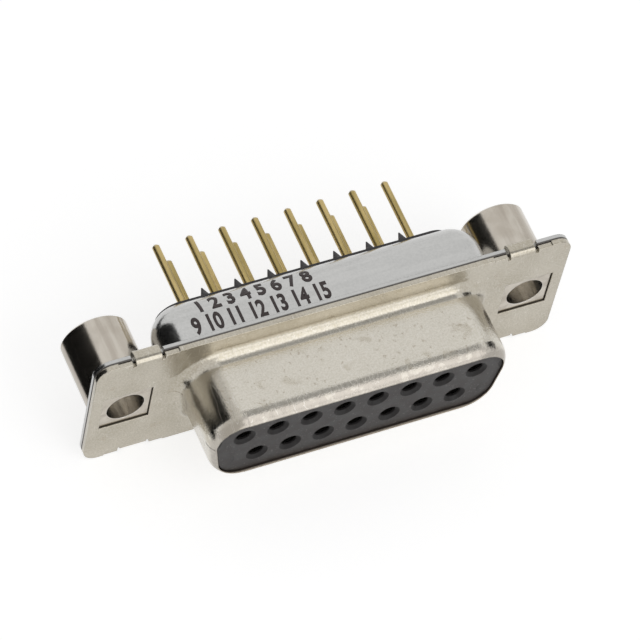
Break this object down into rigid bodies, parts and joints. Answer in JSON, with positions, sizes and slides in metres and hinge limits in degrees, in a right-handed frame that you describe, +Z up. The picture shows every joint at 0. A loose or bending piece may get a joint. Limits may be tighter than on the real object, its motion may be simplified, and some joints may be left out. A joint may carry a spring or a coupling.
{
  "type": "d-sub connector",
  "caption": "Board-mount D-shaped socket connector with a two-sheet steel shell, round board spacers, turned socket contacts and straight solder tails.",
  "frame": {"origin": "on the front face of the flange, midway between the two fixing holes", "axes": "+X along the connector, to the viewer's right when facing the socket face; -Y towards the mating plug; +Y towards the board and the tails; +Z up, the side of the row of eight"},
  "size_m": [0.0392, 0.0183, 0.0126],
  "materials": {
    "front_sheet": "drawn steel sheet with a matt tin plate",
    "rear_sheet": "drawn steel sheet with a smooth satin plate",
    "insulator_front": "moulded, satin",
    "insulator_rear": "moulded, satin",
    "spacer_plate": "turned, nickel plated",
    "contact_gold": "turned copper alloy, thin gold plate",
    "sleeve_steel": "thin drawn stainless"
  },
  "bodies": {
    "root": {"front_shell": "front_sheet", "rear_shell": "rear_sheet", "front_insulator": "insulator_front", "rear_insulator": "insulator_rear", "spacer_left": "spacer_plate", "spacer_right": "spacer_plate", "contact_1": "contact_gold", "contact_2": "contact_gold", "contact_3": "contact_gold", "contact_4": "contact_gold", "contact_5": "contact_gold", "contact_6": "contact_gold", "contact_7": "contact_gold", "contact_8": "contact_gold", "contact_9": "contact_gold", "contact_10": "contact_gold", "contact_11": "contact_gold", "contact_12": "contact_gold", "contact_13": "contact_gold", "contact_14": "contact_gold", "contact_15": "contact_gold", "sleeve_1": "sleeve_steel", "sleeve_2": "sleeve_steel", "sleeve_3": "sleeve_steel", "sleeve_4": "sleeve_steel", "sleeve_5": "sleeve_steel", "sleeve_6": "sleeve_steel", "sleeve_7": "sleeve_steel", "sleeve_8": "sleeve_steel", "sleeve_9": "sleeve_steel", "sleeve_10": "sleeve_steel", "sleeve_11": "sleeve_steel", "sleeve_12": "sleeve_steel", "sleeve_13": "sleeve_steel", "sleeve_14": "sleeve_steel", "sleeve_15": "sleeve_steel"}
  },
  "joints": []
}
